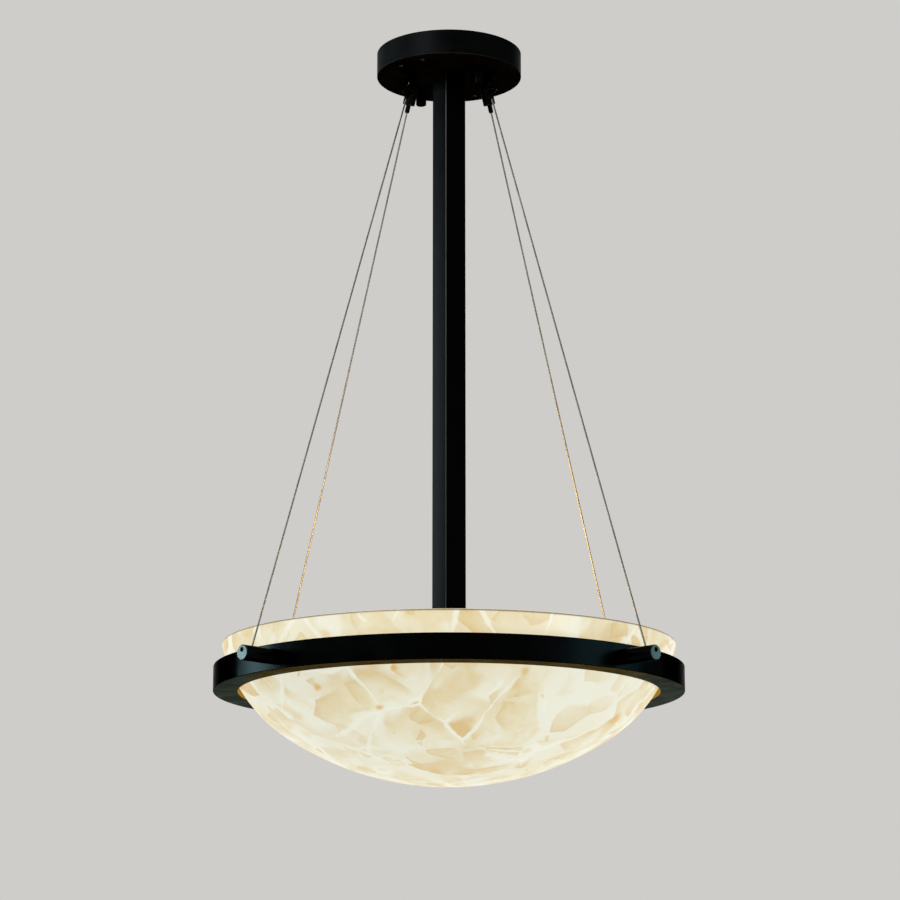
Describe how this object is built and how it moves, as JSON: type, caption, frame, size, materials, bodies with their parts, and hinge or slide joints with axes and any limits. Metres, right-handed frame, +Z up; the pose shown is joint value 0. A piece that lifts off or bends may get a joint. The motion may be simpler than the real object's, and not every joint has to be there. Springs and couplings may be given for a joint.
{
  "type": "alabaster bowl pendant",
  "caption": "Pendant light: alabaster bowl resting in a black angle ring, hung on taut cables from a round ceiling canopy, with a square stem that carries lamps inside the bowl.",
  "frame": {"origin": "centre of the ceiling face of the canopy, on the stem axis", "axes": "+Z up into the ceiling, the pendant hangs into -Z; -Y is the pictured front, +X the viewer's right"},
  "size_m": [0.4742, 0.4741, 0.772],
  "materials": {
    "canopy_metal": "satin black powder coat",
    "stem_metal": "satin black powder coat",
    "ring_metal": "satin black, lightly mottled",
    "peg_metal": "satin black, bright turned end face",
    "gripper_metal": "satin black",
    "sleeve_metal": "satin black over steel",
    "cable_steel": "fine stranded wire rope",
    "nut_metal": "satin black",
    "alabaster": "polished, lit from inside",
    "pad_silicone": "clear amber silicone",
    "zinc_steel": "zinc plated",
    "fastener_steel": "plated",
    "nipple_brass": "raw brass",
    "ground_green": "green ground screw",
    "cable_sheath": "black sheath",
    "connector_plastic": "moulded",
    "socket_black": "moulded",
    "lamp_base": "plain",
    "lamp_globe": "opal, lit"
  },
  "bodies": {
    "fixture": {"bowl_pads": "pad_silicone", "cable_back_left": "cable_steel", "cable_back_right": "cable_steel", "cable_front_left": "cable_steel", "cable_front_right": "cable_steel", "canopy": "canopy_metal", "cover_screws": "fastener_steel", "crossbar": "zinc_steel", "crossbar_studs": "fastener_steel", "flange_screws": "fastener_steel", "gripper_body_back_left": "gripper_metal", "gripper_body_back_right": "gripper_metal", "gripper_body_front_left": "gripper_metal", "gripper_body_front_right": "gripper_metal", "ground_screw": "ground_green", "hub": "canopy_metal", "hub_cover": "canopy_metal", "lamp_base_1": "lamp_base", "lamp_base_2": "lamp_base", "lamp_base_3": "lamp_base", "lamp_base_4": "lamp_base", "lamp_globe_1": "lamp_globe", "lamp_globe_2": "lamp_globe", "lamp_globe_3": "lamp_globe", "lamp_globe_4": "lamp_globe", "load_plate": "zinc_steel", "nipple": "nipple_brass", "nipple_nut": "nipple_brass", "peg_back_left": "peg_metal", "peg_back_right": "peg_metal", "peg_bolts": "fastener_steel", "peg_front_left": "peg_metal", "peg_front_right": "peg_metal", "plate_screws": "nut_metal", "ring": "ring_metal", "set_screws": "fastener_steel", "socket_1": "socket_black", "socket_2": "socket_black", "socket_3": "socket_black", "socket_4": "socket_black", "socket_nuts": "socket_black", "stem_cable": "cable_sheath", "stem_flange": "zinc_steel", "stem_plug": "zinc_steel", "stem_tube": "stem_metal", "stud_collars": "nut_metal", "stud_nuts": "fastener_steel", "wire_connectors": "connector_plastic"},
    "bowl_body": {"bowl": "alabaster"},
    "nut_back_body": {"thumb_nut_back": "nut_metal"},
    "nut_front_body": {"thumb_nut_front": "nut_metal"},
    "sleeve_front_left_body": {"gripper_sleeve_front_left": "sleeve_metal", "gripper_jaws_front_left": "nipple_brass"},
    "sleeve_front_right_body": {"gripper_sleeve_front_right": "sleeve_metal", "gripper_jaws_front_right": "nipple_brass"},
    "sleeve_back_left_body": {"gripper_sleeve_back_left": "sleeve_metal", "gripper_jaws_back_left": "nipple_brass"},
    "sleeve_back_right_body": {"gripper_sleeve_back_right": "sleeve_metal", "gripper_jaws_back_right": "nipple_brass"}
  },
  "joints": [
    {"name": "bowl_lift", "type": "slide", "parent": "fixture", "child": "bowl_body", "axis": [0, 0, 1], "range_m": [0, 0.04]},
    {"name": "release_front_left", "type": "slide", "parent": "fixture", "child": "sleeve_front_left_body", "axis": [0.2205, 0.2554, 0.9414], "range_m": [0, 0.0025], "stiffness_N_per_m": 300, "springref_m": -0.002},
    {"name": "release_front_right", "type": "slide", "parent": "fixture", "child": "sleeve_front_right_body", "axis": [-0.2205, 0.2554, 0.9414], "range_m": [0, 0.0025], "stiffness_N_per_m": 300, "springref_m": -0.002},
    {"name": "release_back_left", "type": "slide", "parent": "fixture", "child": "sleeve_back_left_body", "axis": [0.2205, -0.2554, 0.9414], "range_m": [0, 0.0025], "stiffness_N_per_m": 300, "springref_m": -0.002},
    {"name": "release_back_right", "type": "slide", "parent": "fixture", "child": "sleeve_back_right_body", "axis": [-0.2205, -0.2554, 0.9414], "range_m": [0, 0.0025], "stiffness_N_per_m": 300, "springref_m": -0.002},
    {"name": "nut_back_turn", "type": "hinge", "parent": "fixture", "child": "nut_back_body", "pos_m": [-0.02974, 0.03303, -0.0405], "axis": [0, 0, 1], "continuous": true},
    {"name": "nut_front_turn", "type": "hinge", "parent": "fixture", "child": "nut_front_body", "pos_m": [0.02974, -0.03303, -0.0405], "axis": [0, 0, 1], "continuous": true}
  ]
}
